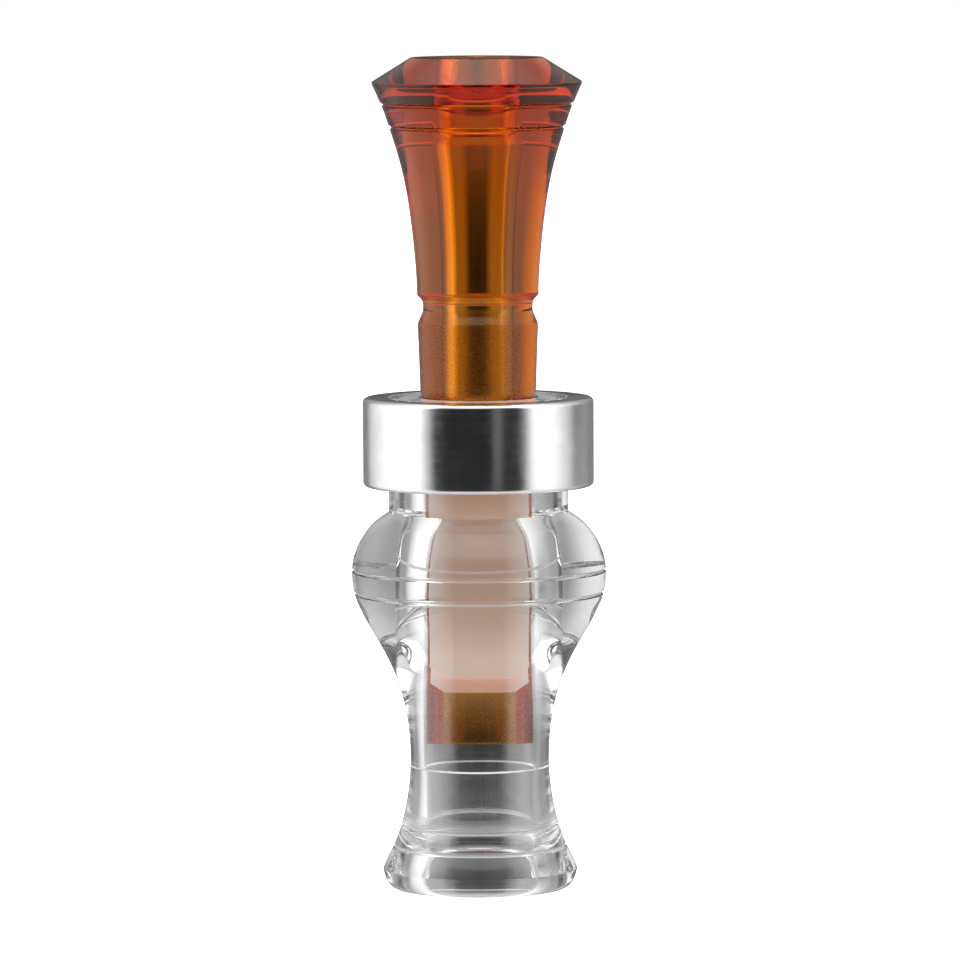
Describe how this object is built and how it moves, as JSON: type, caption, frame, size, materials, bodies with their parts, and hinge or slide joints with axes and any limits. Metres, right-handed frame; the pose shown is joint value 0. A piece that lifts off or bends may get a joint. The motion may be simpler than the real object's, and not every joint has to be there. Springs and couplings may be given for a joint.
{
  "type": "duck call",
  "caption": "Double-reed duck call: clear acrylic barrel with a metal band, and an amber insert whose tapered tenon pulls out with its toneboard, reeds and wedge.",
  "frame": {"origin": "centre of the mouthpiece lip's flat bottom face, on the call's axis", "axes": "+Z along the call's axis from the mouthpiece up to the exhaust bell, -Y the side that the reeds face, +X across the reeds"},
  "size_m": [0.0358, 0.0358, 0.1168],
  "materials": {
    "clear_acrylic": "polished clear acrylic",
    "aluminium": "turned and polished, with fine lathe lines",
    "amber_acrylic": "polished see-through amber acrylic, left matt where it is milled",
    "cork": "fine-grained cork",
    "mylar": "frosted film"
  },
  "bodies": {
    "barrel": {"barrel": "clear_acrylic", "band": "aluminium"},
    "insert": {"insert": "amber_acrylic", "wedge": "cork"},
    "reed_lower": {"reed_lower": "mylar"},
    "reed_upper": {"reed_upper": "mylar"}
  },
  "joints": [
    {"name": "insert_pull", "type": "slide", "parent": "barrel", "child": "insert", "axis": [0, 0, 1], "range_m": [0, 0.055]},
    {"name": "reed_lower_flex", "type": "hinge", "parent": "insert", "child": "reed_lower", "pos_m": [0, -0.00145, 0.0574], "axis": [1, 0, 0], "range_deg": [-1.5, 1], "stiffness_Nm_per_rad": 0.009},
    {"name": "reed_upper_flex", "type": "hinge", "parent": "insert", "child": "reed_upper", "pos_m": [0, -0.00205, 0.0574], "axis": [1, 0, 0], "range_deg": [-1.5, 1], "stiffness_Nm_per_rad": 0.009}
  ],
  "couplings": [
    {"joint": "reed_upper_flex", "follows": "reed_lower_flex", "ratio": 1}
  ]
}
